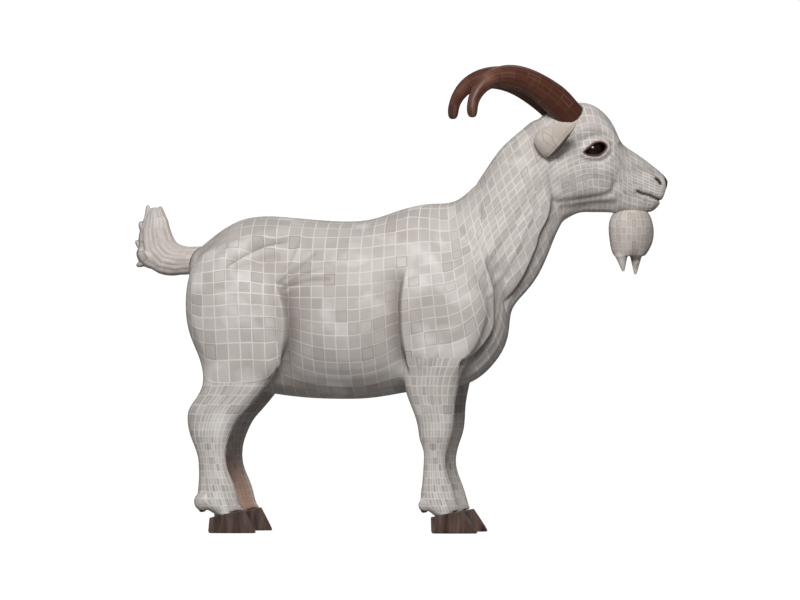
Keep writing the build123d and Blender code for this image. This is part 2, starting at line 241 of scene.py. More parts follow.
def spline_rows(rows, steps):
    """Rows of numbers, filled in smoothly with steps rows to each old one."""
    rows = np.array(rows, float)
    padded = np.vstack([2 * rows[0] - rows[1], rows, 2 * rows[-1] - rows[-2]])
    out = []
    for i in range(1, len(padded) - 2):
        a, b, c, d = padded[i - 1:i + 3]
        for k in range(steps):
            t = k / steps
            out.append(0.5 * (2 * b + (c - a) * t + (2 * a - 5 * b + 4 * c - d) * t * t
                              + (3 * b - a - 3 * c + d) * t ** 3))
    out.append(rows[-1])
    return np.array(out)


STEPS = 4
rows = spline_rows(SPINE + SKULL, STEPS) * MM
station = np.arange(len(rows)) / STEPS
share = np.clip((station - NECK_BASE) / (len(SPINE) - 1 - NECK_BASE), 0, 1)
yaw = HEAD_TURN * share * share * (3 - 2 * share)
zeros = np.zeros(len(rows))
middle = np.stack([(rows[:, 0] + rows[:, 2]) / 2, zeros, (rows[:, 1] + rows[:, 3]) / 2], 1)
up = np.stack([rows[:, 0] - rows[:, 2], zeros, rows[:, 1] - rows[:, 3]], 1)
half_height = np.linalg.norm(up, axis=1) / 2
up = turn_z(up / (2 * half_height[:, None]), yaw)
side = turn_z(np.tile([0.0, 1.0, 0.0], (len(rows), 1)), yaw)
ahead = np.cross(side, up)
pivot = np.array([HEAD_PIVOT * MM, 0, 0])
on_head = station > len(SPINE) - 1
middle[on_head] = turn_z(middle[on_head] - pivot, HEAD_TURN) + pivot

# ---------------------------------------------------------------- one skin from the CAD shells
AROUND = 48
body_tree, _ = tree_of(SKIN_NODES + ["nose_pad", "eye_right", "eye_left"])
spokes = [2 * math.pi * j / AROUND for j in range(AROUND)]
rings = []
for i in range(len(rows)):
    ring = []
    last = None
    for angle in spokes:
        direction = Vector(up[i] * math.cos(angle) + side[i] * math.sin(angle))
        hit = first_hit(body_tree, Vector(middle[i]), direction, half_height[i] + 0.02)
        ring.append(hit if hit else Vector(middle[i]) + direction * (last or half_height[i] * 0.8))
        last = (ring[-1] - Vector(middle[i])).length
    rings.append(ring)
cloud = [p for ring in rings for p in ring]
solid_faces = ring_faces(len(rings), AROUND)

LEG_AROUND = 32
# A ring whose spokes find no surface of the leg is this wide.
LEG_CORE = 12 * MM
leg_axis = {}
for name in LEG_NODES:
    tree, _ = tree_of([name])
    kind, hand = name.split("_")[0], -1 if name.endswith("right") else 1
    axis = spline_rows(LEG_AXES[kind], 8) * MM
    axis[:, 2] *= hand
    leg_axis[name] = axis
    start = len(cloud)
    turns = np.arange(LEG_AROUND) * 2 * math.pi / LEG_AROUND
    for height, x, y in axis:
        centre = Vector((x, y, height))
        hits = [first_hit(tree, centre, Vector((math.cos(a), math.sin(a), 0)), 0.14) for a in turns]
        found = np.array([hit is not None for hit in hits])
        lengths = np.array([(hit - centre).length if hit else LEG_CORE for hit in hits])
        if 2 < found.sum() < LEG_AROUND:
            lengths = np.interp(turns, turns[found], lengths[found], period=2 * math.pi)
            inward = np.maximum(-np.sin(turns) * hand, 1e-6)
            lengths = np.where(found, lengths, np.minimum(lengths, (abs(y) - 0.005) / inward))
        for angle, length in zip(turns, lengths):
            cloud.append(centre + Vector((math.cos(angle), math.sin(angle), 0)) * float(length))
    solid_faces += ring_faces(len(axis), LEG_AROUND, start)
    x, z, radius = BULBS[kind]
    for side_step in (-BULB_SPREAD, BULB_SPREAD):
        start = len(cloud)
        points, faces = lump((x, axis[-1][2] + side_step, z), (radius, radius, radius * 1.1))
        cloud += [Vector(p) for p in points]
        solid_faces += [tuple(v + start for v in face) for face in faces]

skin, quads = remeshed("skin_draft", cloud, solid_faces, VOXEL)
edges = edges_of(quads)
ones = np.ones(len(skin))
skin = relaxed(skin, edges, ones * 0.5, 6)
print("skin points", len(skin), "quads", len(quads))


def to_head(points):
    """Points in the head's own frame, before it was turned."""
    return turn_z(points - pivot, -HEAD_TURN) + pivot


# Where a leg runs into the body the two are blended, except in the creases beside them.
BLEND_REACH = 26 * MM
BLEND_ROUNDS = 140
cad_tree, cad_owner = tree_of(SKIN_NODES + LEG_NODES)
body_only, _ = tree_of(SKIN_NODES)
legs_only, _ = tree_of(LEG_NODES)
to_body = np.array([body_only.find_nearest(Vector(p))[3] for p in skin])
to_legs = np.array([legs_only.find_nearest(Vector(p), 0.08)[3] or 0.08 for p in skin])
near_joint = smooth_step(1 - np.maximum(to_body, to_legs) / BLEND_REACH)
height_share = smooth_step((skin[:, 2] - 0.50) / 0.10)
blend = near_joint * np.maximum(height_share, smooth_step((np.abs(skin[:, 1]) - 0.05) / 0.03) * 0.9)
skin = relaxed(skin, edges, 0.5 * blend, BLEND_ROUNDS)
skin = relaxed(skin, edges, ones * 0.3, 2)


# ---------------------------------------------------------------- sculpting, with painted shade in creases and recesses
def stroke(points, line, radius, depth, head=False):
    """How far each point moves for a groove (negative) or ridge along a side-view line (x, z)."""
    own = to_head(points) if head else points
    line = spline_rows(line, 6) * MM
    flat = own[:, [0, 2]]
    nearest = np.full(len(flat), 9.0)
    for a, b in zip(line[:-1], line[1:]):
        along = b - a
        t = np.clip(((flat - a) @ along) / max(along @ along, 1e-12), 0, 1)
        nearest = np.minimum(nearest, np.linalg.norm(flat - (a + t[:, None] * along), axis=1))
    return depth * MM * np.exp(-((nearest / (radius * MM)) ** 2))


def step_along(points, line, bulge, bulge_reach, dip, dip_reach):
    """Height and shade where one full form overlaps a hollow: the form is left of the line."""
    line = spline_rows(line, 6) * MM
    flat = points[:, [0, 2]]
    nearest = np.full(len(flat), 9.0)
    sided = np.zeros(len(flat))
    place = np.zeros(len(flat))
    passed = 0.0
    for a, b in zip(line[:-1], line[1:]):
        along = b - a
        t = np.clip(((flat - a) @ along) / max(along @ along, 1e-12), 0, 1)
        away = flat - (a + t[:, None] * along)
        distance = np.linalg.norm(away, axis=1)
        closer = distance < nearest
        nearest = np.where(closer, distance, nearest)
        sided = np.where(closer, away[:, 0] * along[1] - away[:, 1] * along[0], sided)
        place = np.where(closer, passed + t * np.linalg.norm(along), place)
        passed += np.linalg.norm(along)
    signed = nearest * np.sign(sided) / MM
    form = smooth_step((signed + 3) / 6)
    height = form * bulge * np.exp(-(signed / bulge_reach) ** 2)
    height -= (1 - form) * dip * np.exp(-(signed / dip_reach) ** 2)
    shade = (1 - form) * np.exp(-(signed / (0.55 * dip_reach)) ** 2)
    fade = smooth_step(np.minimum(place, passed - place) / 0.05)
    return height * MM * fade, shade * fade


def side_facing(normals, head=False):
    """1 where the skin faces sideways, 0 where it faces up, down, ahead or back."""
    own = turn_z(normals, -HEAD_TURN) if head else normals
    return smooth_step((np.abs(own[:, 1]) - 0.15) / 0.5)


# Strokes on the body and the head: line, reach, height (below zero for a groove), darkness of the painted
# shade along it.
BODY_STROKES = [
    ([(-340, 580), (-300, 592), (-262, 604)], 11, -5, 0.12),
    ([(-380, 600), (-330, 640), (-270, 662), (-215, 650)], 12, 4, 0),
    ([(-252, 552), (-222, 590), (-205, 640)], 5, 3, 0),
    ([(-245, 548), (-205, 585), (-175, 612)], 5, -3, 0.2),
    ([(-238, 548), (-195, 572), (-150, 585)], 5, 3, 0),
    ([(-240, 536), (-190, 552), (-140, 556)], 5, -3, 0.2),
    ([(60, 540), (50, 470), (58, 400)], 24, 6, 0),
    ([(30, 690), (70, 640), (90, 580)], 26, 5, 0),
    ([(110, 690), (180, 620), (240, 560)], 14, -4, 0),
    ([(320, 830), (285, 720), (240, 640), (200, 570)], 10, -3, 0.1),
    ([(300, 700), (255, 600), (205, 520)], 6, 3, 0),
]
# Full forms over hollows, drawn with the form on the left: line, bulge, its reach, dip, its reach.
BODY_STEPS = [
    ([(-262, 556), (-246, 525), (-236, 490), (-233, 455), (-237, 415), (-254, 366), (-282, 328)],
     9, 40, 13, 42),
    ([(40, 340), (26, 400), (20, 450), (20, 520), (30, 590)], 7, 36, 11, 36),
    ([(-378, 574), (-340, 600), (-290, 626), (-226, 640)], 5, 20, 10, 20),
    ([(200, 610), (214, 545), (217, 483), (212, 444), (178, 395), (149, 376), (146, 330)],
     7, 34, 9, 34),
    ([(345, 760), (337, 700), (317, 657), (307, 624), (283, 570), (259, 531), (230, 495)],
     3, 26, 7, 20),
]
HEAD_STROKES = [
    ([(340, 724), (388, 731), (426, 738), (456, 745), (468, 764)], 7, -4, 0.35),
    ([(350, 712), (390, 716), (430, 722), (470, 722)], 9, -4, 0.35),
    ([(316, 820), (318, 770), (328, 725)], 6, -3, 0.2),
    ([(378, 880), (408, 890), (450, 880), (470, 860)], 10, 5, 0),
    ([(392, 862), (420, 873), (446, 868), (458, 852)], 5, -3, 0.2),
    ([(388, 822), (412, 814), (440, 818), (458, 834)], 4, -2.5, 0.15),
    ([(396, 806), (430, 796), (466, 800)], 14, 4, 0),
    ([(470, 812), (500, 796), (530, 786)], 12, -3, 0.1),
    ([(350, 790), (390, 760), (430, 752)], 24, 4, 0),
    ([(470, 770), (500, 740), (520, 735)], 12, -3, 0.1),
    ([(518, 757), (540, 753), (570, 744), (588, 738)], 5, 2, 0),
]
normals = normals_of(skin, quads)
move = np.zeros(len(skin))
# Painted shade in the creases and hollows, 0 to 1.
painted_crease_shade = np.zeros(len(skin))
facing = side_facing(normals)
behind_head = smooth_step((0.36 - skin[:, 0]) / 0.03)
for line, reach, height, painted_recess_shade in BODY_STROKES:
    shape = stroke(skin, line, reach, height) * facing * behind_head
    move += shape
    painted_crease_shade = np.maximum(painted_crease_shade, painted_recess_shade * (shape / (height * MM)) ** 2)
for line, bulge, bulge_reach, dip, dip_reach in BODY_STEPS:
    height, shade = step_along(skin, line, bulge, bulge_reach, dip, dip_reach)
    move += height * facing
    painted_crease_shade = np.maximum(painted_crease_shade, 0.62 * shade * facing)
facing = side_facing(normals, True) * smooth_step((skin[:, 0] - HEAD_START) / 0.04)
for line, reach, height, painted_recess_shade in HEAD_STROKES:
    shape = stroke(skin, line, reach, height, True) * facing
    move += shape
    painted_crease_shade = np.maximum(painted_crease_shade, painted_recess_shade * (shape / (height * MM)) ** 2)

# Mouth, nostrils and eyelids, with painted shade in the mouth line, the nostrils and the eye opening.
own = to_head(skin)
painted_recess_shade = np.zeros(len(skin))
muzzle = smooth_step((own[:, 0] - 0.50) / 0.02)
lips = stroke(skin, MOUTH, 3.2, 1.0, True) / MM * muzzle
move -= 4.5 * MM * lips
painted_recess_shade = np.maximum(painted_recess_shade, smooth_step((lips - 0.35) / 0.4))
nostril = stroke(skin, [(566, 778), (572, 774), (576, 768)], 4.5, 1.0, True) / MM * muzzle
move -= 4.0 * MM * nostril * (np.abs(own[:, 1]) > 0.006)
painted_recess_shade = np.maximum(painted_recess_shade, smooth_step((nostril - 0.3) / 0.4))


def signed_inside(points, outline):
    """How far side-view points are inside a closed outline, in metres, below zero outside."""
    ends = np.roll(outline, -1, axis=0)
    nearest = np.full(len(points), 9.0)
    crossings = np.zeros(len(points), int)
    for a, b in zip(outline, ends):
        along = b - a
        t = np.clip(((points - a) @ along) / (along @ along), 0, 1)
        nearest = np.minimum(nearest, np.linalg.norm(points - (a + t[:, None] * along), axis=1))
        spans = (a[1] > points[:, 1]) != (b[1] > points[:, 1])
        slope = (b[0] - a[0]) / (b[1] - a[1] if b[1] != a[1] else 1e-9)
        crossings += spans & (points[:, 0] < a[0] + (points[:, 1] - a[1]) * slope)
    return np.where(crossings % 2 == 1, nearest, -nearest)


def closed_curve(points, steps):
    """A smooth closed curve through these points."""
    points = np.array(points, float)
    rows_in = np.vstack([points[-2:], points, points[:3]])
    return spline_rows(rows_in, steps)[2 * steps:-3 * steps]


opening = closed_curve(EYE_OPENING, 6) * MM
eye_depth = signed_inside(own[:, [0, 2]], opening)
beside = (np.abs(own[:, 1]) > EYE_SIDE) & (np.abs(eye_depth) < 0.03)
move += np.where(beside, 4.0 * MM * np.exp(-((eye_depth + 0.004) / 0.006) ** 2), 0)
painted_recess_shade = np.maximum(painted_recess_shade, np.where(beside, smooth_step((eye_depth + 0.004) / 0.003), 0))
skin = skin + normals * move[:, None]

# ---------------------------------------------------------------- the grid on the skin
def body_grid(points):
    """Grid coordinates on the body: along, around, and the metres per cell of each."""
    cell = np.where(station < NECK_BASE, 27.0, np.where(station < len(SPINE), 22.0, 14.0)) * MM
    gaps = np.linalg.norm(np.diff(middle, axis=0), axis=1)
    ruler = np.concatenate([[0], np.cumsum(gaps / cell[:-1])])
    ahead_of = np.einsum("ij,kj->ki", ahead, points) - np.einsum("ij,ij->i", ahead, middle)[None]
    between = (ahead_of[:, :-1] >= 0) & (ahead_of[:, 1:] < 0)
    distance = np.linalg.norm(points[:, None, :] - middle[None, :-1, :], axis=2)
    index = np.argmin(np.where(between, distance, distance + 5), axis=1)
    rows_at = np.arange(len(points))
    low, high = ahead_of[rows_at, index], ahead_of[rows_at, index + 1]
    t = np.clip(low / np.maximum(low - high, 1e-9), 0, 1)
    step = ruler[index + 1] - ruler[index]
    centre = middle[index] + t[:, None] * (middle[index + 1] - middle[index])
    upward = up[index] + t[:, None] * (up[index + 1] - up[index])
    sideways = side[index]
    arm = points - centre
    a, b = np.einsum("ij,ij->i", arm, sideways), np.einsum("ij,ij->i", arm, upward)
    turn = np.arctan2(a, b) / (2 * math.pi) * BODY_CELLS
    length = np.clip(low - high, 1e-4, 1) / np.maximum(step, 1e-6)
    return np.stack([ruler[index] + t * step, turn, length,
                     np.hypot(a, b) * 2 * math.pi / BODY_CELLS], 1)


def unwrapped(turns, period):
    """Turns at a face's corners, each brought within half a period of the first corner's."""
    first = turns[:, :1]
    return first + (turns - first + period / 2) % period - period / 2


def leg_grid(points, axis):
    """The same coordinates on a leg, measured down and round its centre line."""
    x = np.interp(-points[:, 2], -axis[:, 0], axis[:, 1])
    y = np.interp(-points[:, 2], -axis[:, 0], axis[:, 2])
    a, b = points[:, 0] - x, points[:, 1] - y
    turn = np.arctan2(b, a) / (2 * math.pi) * LEG_CELLS
    cell = np.interp(points[:, 2], [0.05, 0.25, 0.6], [13 * MM, 17 * MM, 24 * MM])
    along = np.interp(points[:, 2], [0.0, 0.25, 0.7], [0, 16.5, 38.0])
    return np.stack([along, turn, cell, np.hypot(a, b) * 2 * math.pi / LEG_CELLS], 1)


names = SKIN_NODES + LEG_NODES
centres = skin[quads].mean(axis=1)
owner = np.array([cad_owner[cad_tree.find_nearest(Vector(p))[2]] for p in centres])
head_centres = to_head(centres)
in_eye = signed_inside(head_centres[:, [0, 2]], opening) > 0
in_eye &= (np.abs(head_centres[:, 1]) > EYE_SIDE) & (centres[:, 0] > HEAD_START)
owner[in_eye] = -1
grid_body = body_grid(skin)
period = np.full(len(quads), float(BODY_CELLS))
corner_grid = grid_body[quads]
for index, name in enumerate(names):
    if name in LEG_NODES:
        mine = (owner == index) & (centres[:, 2] < GRID_CHANGE[name.split("_")[0]])
        corner_grid[mine] = leg_grid(skin, leg_axis[name])[quads[mine]]
        period[mine] = LEG_CELLS
corner_grid[:, :, 1] = unwrapped(corner_grid[:, :, 1], period[:, None])

full_normals = normals_of(skin, quads)


def shell_piece(name, picked):
    """A closed shell for one CAD node, cut from the whole skin, keeping the skin's smooth shading."""
    used, flat = np.unique(quads[picked], return_inverse=True)
    local = flat.reshape(-1, 4)
    count = len(used)
    outer = skin[used]
    inner = outer - full_normals[used] * SHELL
    pairs = np.vstack([local[:, [i, (i + 1) % 4]] for i in range(4)])
    key = np.sort(pairs, axis=1)
    _, where, times = np.unique(key, axis=0, return_index=True, return_counts=True)
    rim = pairs[where[times == 1]]
    walls = np.stack([rim[:, 1], rim[:, 0], rim[:, 0] + count, rim[:, 1] + count], 1)
    faces = np.vstack([local, local[:, ::-1] + count, walls])
    obj = make_mesh(name, np.vstack([outer, inner]), faces)
    mesh = obj.data
    mesh.polygons.foreach_set("use_smooth", np.ones(len(mesh.polygons), bool))
    loops = np.zeros((len(faces) * 4, 3))
    loops[:len(local) * 4] = full_normals[used][local.ravel()]
    loops[len(local) * 4:len(local) * 8] = -full_normals[used][local[:, ::-1].ravel()]
    mesh.normals_split_custom_set([tuple(v) for v in loops])
    grid = mesh.attributes.new("grid", "FLOAT_COLOR", "CORNER")
    values = np.zeros((len(faces) * 4, 4))
    values[:, 2:] = 1
    values[:len(local) * 4] = corner_grid[picked].reshape(-1, 4)
    grid.data.foreach_set("color", values.ravel())
    # The tone attribute carries painted shade: in creases, low on the far hind leg, and in the recesses.
    painted_shade_tone = mesh.attributes.new("painted_shade_tone", "FLOAT_COLOR", "POINT")
    shade = np.zeros((2 * count, 4))
    shade[:count, 0] = painted_crease_shade[used]
    shade[:count, 1] = warm_painted_shade[used]
    shade[:count, 2] = painted_recess_shade[used]
    painted_shade_tone.data.foreach_set("color", shade.ravel())
    return obj


# Painted shade on the far (left) legs where they face the near ones: warm brown low on the hind leg, grey
# from 12 to 40 cm up.
inner_side = smooth_step((0.118 - skin[:, 1]) / 0.02) * smooth_step((skin[:, 1] - 0.04) / 0.02)
warm_painted_shade = inner_side * smooth_step((0.25 - skin[:, 2]) / 0.16) * smooth_step((-0.25 - skin[:, 0]) / 0.02)
shaded = smooth_step((skin[:, 2] - 0.12) / 0.1) * (skin[:, 2] < 0.4)
painted_crease_shade = np.maximum(painted_crease_shade, 0.35 * inner_side * shaded)

skin_pieces = {}
for index, name in enumerate(names):
    piece = shell_piece(name + "_skin", owner == index)
    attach(piece, "root")
    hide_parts(name)
    skin_pieces[name] = piece


# ---------------------------------------------------------------- materials
class Paint:
    """Builds one node material, a link at a time."""

    def __init__(self, name, roughness):
        self.material = bpy.data.materials.new(name)
        self.material.use_nodes = True
        self.nodes = self.material.node_tree.nodes
        self.links = self.material.node_tree.links
        self.shader = self.nodes["Principled BSDF"]
        self.shader.inputs["Roughness"].default_value = roughness
        self.shader.inputs["Specular IOR Level"].default_value = 0.25

    def feed(self, socket, value):
        if isinstance(value, bpy.types.NodeSocket):
            self.links.new(value, socket)
        else:
            socket.default_value = value

    def math(self, operation, a, b=0.0, c=0.0):
        node = self.nodes.new("ShaderNodeMath")
        node.operation = operation
        for socket, value in zip(node.inputs, (a, b, c)):
            self.feed(socket, value)
        return node.outputs[0]

    def ramp(self, value, low, high, at_low=0.0, at_high=1.0):
        node = self.nodes.new("ShaderNodeMapRange")
        for socket, number in zip(node.inputs, (value, low, high, at_low, at_high)):
            self.feed(socket, number)
        return node.outputs[0]

    def mix(self, share, a, b, kind="MIX"):
        node = self.nodes.new("ShaderNodeMix")
        node.data_type = "RGBA"
        node.blend_type = kind
        self.feed(node.inputs[0], share)
        self.feed(node.inputs[6], a)
        self.feed(node.inputs[7], b)
        return node.outputs[2]

    def attribute(self, name):
        node = self.nodes.new("ShaderNodeAttribute")
        node.attribute_name = name
        split = self.nodes.new("ShaderNodeSeparateColor")
        self.links.new(node.outputs["Color"], split.inputs[0])
        return [split.outputs[0], split.outputs[1], split.outputs[2], node.outputs["Alpha"]]

    def noise(self, scale, detail=3.0, stretch=(1, 1, 1)):
        place = self.nodes.new("ShaderNodeTexCoord")
        mapping = self.nodes.new("ShaderNodeMapping")
        mapping.inputs["Scale"].default_value = stretch
        self.links.new(place.outputs["Object"], mapping.inputs[0])
        node = self.nodes.new("ShaderNodeTexNoise")
        node.inputs["Scale"].default_value = scale
        node.inputs["Detail"].default_value = detail
        self.links.new(mapping.outputs[0], node.inputs["Vector"])
        return node.outputs[0]

    def random(self, a, b, c=0.0):
        join = self.nodes.new("ShaderNodeCombineXYZ")
        for socket, value in zip(join.inputs, (a, b, c)):
            self.feed(socket, value)
        node = self.nodes.new("ShaderNodeTexWhiteNoise")
        self.links.new(join.outputs[0], node.inputs["Vector"])
        return node.outputs[0]

    def bump(self, height, strength, distance=0.001):
        node = self.nodes.new("ShaderNodeBump")
        node.inputs["Strength"].default_value = strength
        node.inputs["Distance"].default_value = distance
        self.links.new(height, node.inputs["Height"])
        self.links.new(node.outputs[0], self.shader.inputs["Normal"])

    def colour(self, value):
        self.feed(self.shader.inputs["Base Color"], value)


def srgb(r, g, b):
    """Linear colour from 0-255 display values."""
    return tuple((c / 255 / 12.92) if c / 255 < 0.04045 else ((c / 255 + 0.055) / 1.055) ** 2.4
                 for c in (r, g, b)) + (1.0,)


def grid_paint(name, base, second, line, strength=0.7, roughness=0.5, thick=0.0019):
    """Satin paint with each cell of the grid its own shade of colour and fine lines between the cells, a
    painted shadow beside some lines, and the painted shade stored on the mesh.
    """
    paint = Paint(name, roughness)
    along, around, length, width = paint.attribute("grid")
    painted_shade_tone = paint.attribute("painted_shade_tone")
    cell_a = paint.math("FLOOR", along)
    cell_b = paint.math("FLOOR", around)
    gaps = []
    for value, size in ((along, length), (around, width)):
        share = paint.math("FRACT", value)
        near = paint.math("MINIMUM", share, paint.math("SUBTRACT", 1.0, share))
        gaps.append(paint.math("MULTIPLY", near, size))
    gap = paint.math("MINIMUM", gaps[0], gaps[1])
    on_line = paint.ramp(gap, thick * 0.35, thick, 1.0, 0.0)
    beside_line = paint.ramp(gap, thick, thick + 0.0012, 1.0, 0.0)
    chance = paint.random(cell_a, cell_b)
    second_chance = paint.random(cell_a, cell_b, 7.0)
    third_chance = paint.random(cell_a, cell_b, 13.0)
    patch = paint.noise(7.0, 4.0)
    cell = paint.mix(paint.ramp(chance, 0.0, 1.0, 0.0, 0.6), base, second)
    cell = paint.mix(paint.ramp(patch, 0.35, 0.65, 0.0, 0.5), cell, second)
    cell = paint.mix(paint.ramp(third_chance, 0.955, 0.965, 0.0, 0.22), cell, line)
    cell = paint.mix(paint.ramp(paint.noise(12.0, 2.0), 0.56, 0.72, 0.0, 0.45), cell, line)
    # Painted shadow: a thin dark line beside the raised grid lines, on some cells.
    painted_shadow_line = paint.math("MULTIPLY", beside_line, paint.ramp(third_chance, 0.0, 0.3, 0.6, 0.0))
    cell = paint.mix(painted_shadow_line, cell, srgb(104, 94, 88))
    worn = paint.ramp(paint.noise(5.0, 2.0), 0.3, 0.65, 0.45, 1.0)
    line_strength = paint.ramp(second_chance, 0.0, 1.0, strength * 0.55, strength)
    shown = paint.math("MULTIPLY", on_line, line_strength)
    surface = paint.mix(paint.math("MULTIPLY", shown, worn), cell, line)
    # Painted shade stored on the mesh: greyish brown in creases, hollows and between parts, warm brown low
    # on the far hind leg, and deep brown in the mouth, nostrils, eye opening and ear slit.
    surface = paint.mix(painted_shade_tone[0], surface, srgb(88, 76, 70))
    surface = paint.mix(paint.math("MULTIPLY", painted_shade_tone[1], 0.75), surface, srgb(142, 98, 70))
    surface = paint.mix(painted_shade_tone[2], surface, srgb(66, 40, 34))
    paint.colour(surface)
    height = paint.math("ADD", paint.math("MULTIPLY", on_line, 0.4), paint.noise(220.0, 4.0))
    paint.bump(height, 0.25)
    return paint.material


def plain_paint(name, base, second, scale, roughness, stretch=(1, 1, 1), bump=0.15, metallic=0.0):
    """Two close shades mottled by noise, with a fine matching relief."""
    paint = Paint(name, roughness)
    paint.shader.inputs["Metallic"].default_value = metallic
    spread = paint.noise(scale, 4.0, stretch)
    paint.colour(paint.mix(paint.ramp(spread, 0.35, 0.65), base, second))
    sheen = paint.ramp(spread, 0.3, 0.7, roughness - 0.06, roughness + 0.06)
    paint.feed(paint.shader.inputs["Roughness"], sheen)
    paint.bump(paint.noise(scale * 6, 3.0, stretch), bump)
    return paint.material


SKIN_BASE = srgb(190, 184, 179)
SKIN_SECOND = srgb(158, 149, 143)
skin_paint = grid_paint("skin", SKIN_BASE, SKIN_SECOND, srgb(224, 220, 216))
horn_paint = grid_paint("horn", srgb(84, 46, 33), srgb(62, 34, 25), srgb(128, 90, 70), 0.3, 0.42, 0.0012)
hoof_paint = plain_paint("hoof", srgb(98, 79, 72), srgb(50, 36, 31), 26.0, 0.36, (2.5, 2.5, 0.5), 0.2)
ear_paint = grid_paint("ear", srgb(188, 179, 168), srgb(166, 155, 144), srgb(206, 198, 188), 0.3)
nose_paint = plain_paint("nose", srgb(82, 52, 44), srgb(48, 30, 26), 120.0, 0.4, (1, 1, 1), 0.4)
eye_paint = plain_paint("eye", srgb(34, 19, 13), srgb(12, 7, 5), 60.0, 0.16, (1, 1, 1), 0.0)
lid_paint = plain_paint("eyelid", srgb(92, 58, 48), srgb(66, 42, 36), 60.0, 0.45)
armature_paint = plain_paint("armature_primer", srgb(92, 92, 95), srgb(74, 74, 77), 40.0, 0.5)
zinc_paint = plain_paint("zinc", srgb(170, 172, 176), srgb(148, 150, 154), 60.0, 0.32, (1, 1, 1), 0.05, 1.0)

for name, piece in skin_pieces.items():
    piece.data.materials.append(skin_paint)


# ---------------------------------------------------------------- pieces softened from their CAD solids
def softened(node, voxel, rounds, paint, shape=None, lumps=()):
    """A smooth fine-meshed copy of a CAD piece. shape may move its points after it is made."""
    own_points, own_faces = node_arrays(node)
    own_points = [tuple(p) for p in own_points]
    for points, faces in lumps:
        start = len(own_points)
        own_points += points
        own_faces += [tuple(v + start for v in face) for face in faces]
    points, faces = remeshed(node + "_draft", own_points, own_faces, voxel)
    web = edges_of(faces)
    points = relaxed(points, web, np.full(len(points), 0.5), rounds)
    if shape:
        points = shape(points, normals_of(points, faces))
    obj = make_mesh(node + "_form", points, faces)
    obj.data.polygons.foreach_set("use_smooth", np.ones(len(faces), bool))
    obj.data.materials.append(paint)
    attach(obj, "root")
    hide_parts(node)
    return obj


def set_grid(obj, values, period_of, painted_shade_of=None, deep_painted_shade_of=None):
    """Stores grid coordinates by corner, values being one row per point, and the painted shade."""
    mesh = obj.data
    corner = np.empty(len(mesh.loops), int)
    mesh.loops.foreach_get("vertex_index", corner)
    rows_of = values[corner.reshape(-1, 4)]
    rows_of[:, :, 1] = unwrapped(rows_of[:, :, 1], period_of)
    layer = mesh.attributes.new("grid", "FLOAT_COLOR", "CORNER")
    layer.data.foreach_set("color", rows_of.ravel())
    layer = mesh.attributes.new("painted_shade_tone", "FLOAT_COLOR", "POINT")
    shade = np.zeros((len(mesh.vertices), 4))
    if painted_shade_of is not None:
        shade[:, 0] = painted_shade_of
    if deep_painted_shade_of is not None:
        shade[:, 2] = deep_painted_shade_of
    layer.data.foreach_set("color", shade.ravel())


def points_of(obj):
    """A mesh object's points, one row each."""
    out = np.empty(len(obj.data.vertices) * 3)
    obj.data.vertices.foreach_get("co", out)
    return out.reshape(-1, 3)


def line_grid(points, line, cells, cell):
    """Grid along a centre line given in metres, with cells round it."""
    gaps = np.linalg.norm(np.diff(line, axis=0), axis=1)
    start = np.concatenate([[0], np.cumsum(gaps)])
    halfway = (line[:-1] + line[1:]) / 2
    index = np.argmin(np.linalg.norm(points[:, None, :] - halfway[None], axis=2), axis=1)
    along = (line[index + 1] - line[index]) / gaps[index][:, None]
    arm = points - line[index]
    t = np.einsum("ij,ij->i", arm, along)
    arm = arm - t[:, None] * along
    first = np.cross(along, [0.2, 1.0, 0.1])
    first /= np.linalg.norm(first, axis=1)[:, None]
    other = np.cross(along, first)
    a, b = np.einsum("ij,ij->i", arm, first), np.einsum("ij,ij->i", arm, other)
    turn = np.arctan2(b, a) / (2 * math.pi) * cells
    return np.stack([(start[index] + t) / cell, turn, np.full(len(points), cell),
                     np.hypot(a, b) * 2 * math.pi / cells], 1)


beard_paint = grid_paint("beard", srgb(182, 174, 167), srgb(160, 150, 143), srgb(214, 207, 200), 0.5)
tail_paint = grid_paint("tail", srgb(196, 188, 182), srgb(166, 156, 150), srgb(222, 217, 212), 0.3)


def dewclaw_shape(points, normals):
    """Only the tips show below the skin's bulb."""
    centre = (points.min(axis=0) + points.max(axis=0)) / 2
    return centre + (points - centre) * [0.85, 0.95, 0.8] + [0.003, 0, 0.004]


for hand in ("right", "left"):
    sign = -1 if hand == "right" else 1
    horn = softened("horn_" + hand, 1.6 * MM, 6, horn_paint)
    line = spline_rows([(x, sign * y, z) for x, y, z in HORN_LINE], 6) * MM
    grid = line_grid(to_head(points_of(horn)), line, HORN_CELLS, HORN_CELL)
    set_grid(horn, grid, HORN_CELLS)
    for end in ("front", "hind"):
        for claw in ("outer", "inner"):
            softened(f"{end}_{claw}_claw_{hand}", 1.2 * MM, 4, hoof_paint)
        softened(f"{end}_dewclaws_{hand}", 1.0 * MM, 3, hoof_paint, dewclaw_shape)
softened("nose_pad", 1.0 * MM, 4, nose_paint)

# The ear's front edge runs straight from its tip to its lowest point, with the cup's slit on it painted
# dark as shade.
EAR_TIP = np.array([0.373, 0.899])
EAR_LOW = np.array([0.317, 0.820])
ear_edge = (EAR_TIP - EAR_LOW) / np.linalg.norm(EAR_TIP - EAR_LOW)
ear_out = np.array([ear_edge[1], -ear_edge[0]])


def ear_shape(points, normals):
    """Draws the front edge back to a nearly straight line."""
    own = to_head(points)
    flat = own[:, [0, 2]] - EAR_LOW
    beyond = flat @ ear_out
    pull = np.where(beyond > -0.010, (beyond + 0.010) * 0.62, 0)
    own[:, [0, 2]] -= pull[:, None] * ear_out
    return turn_z(own - pivot, HEAD_TURN) + pivot


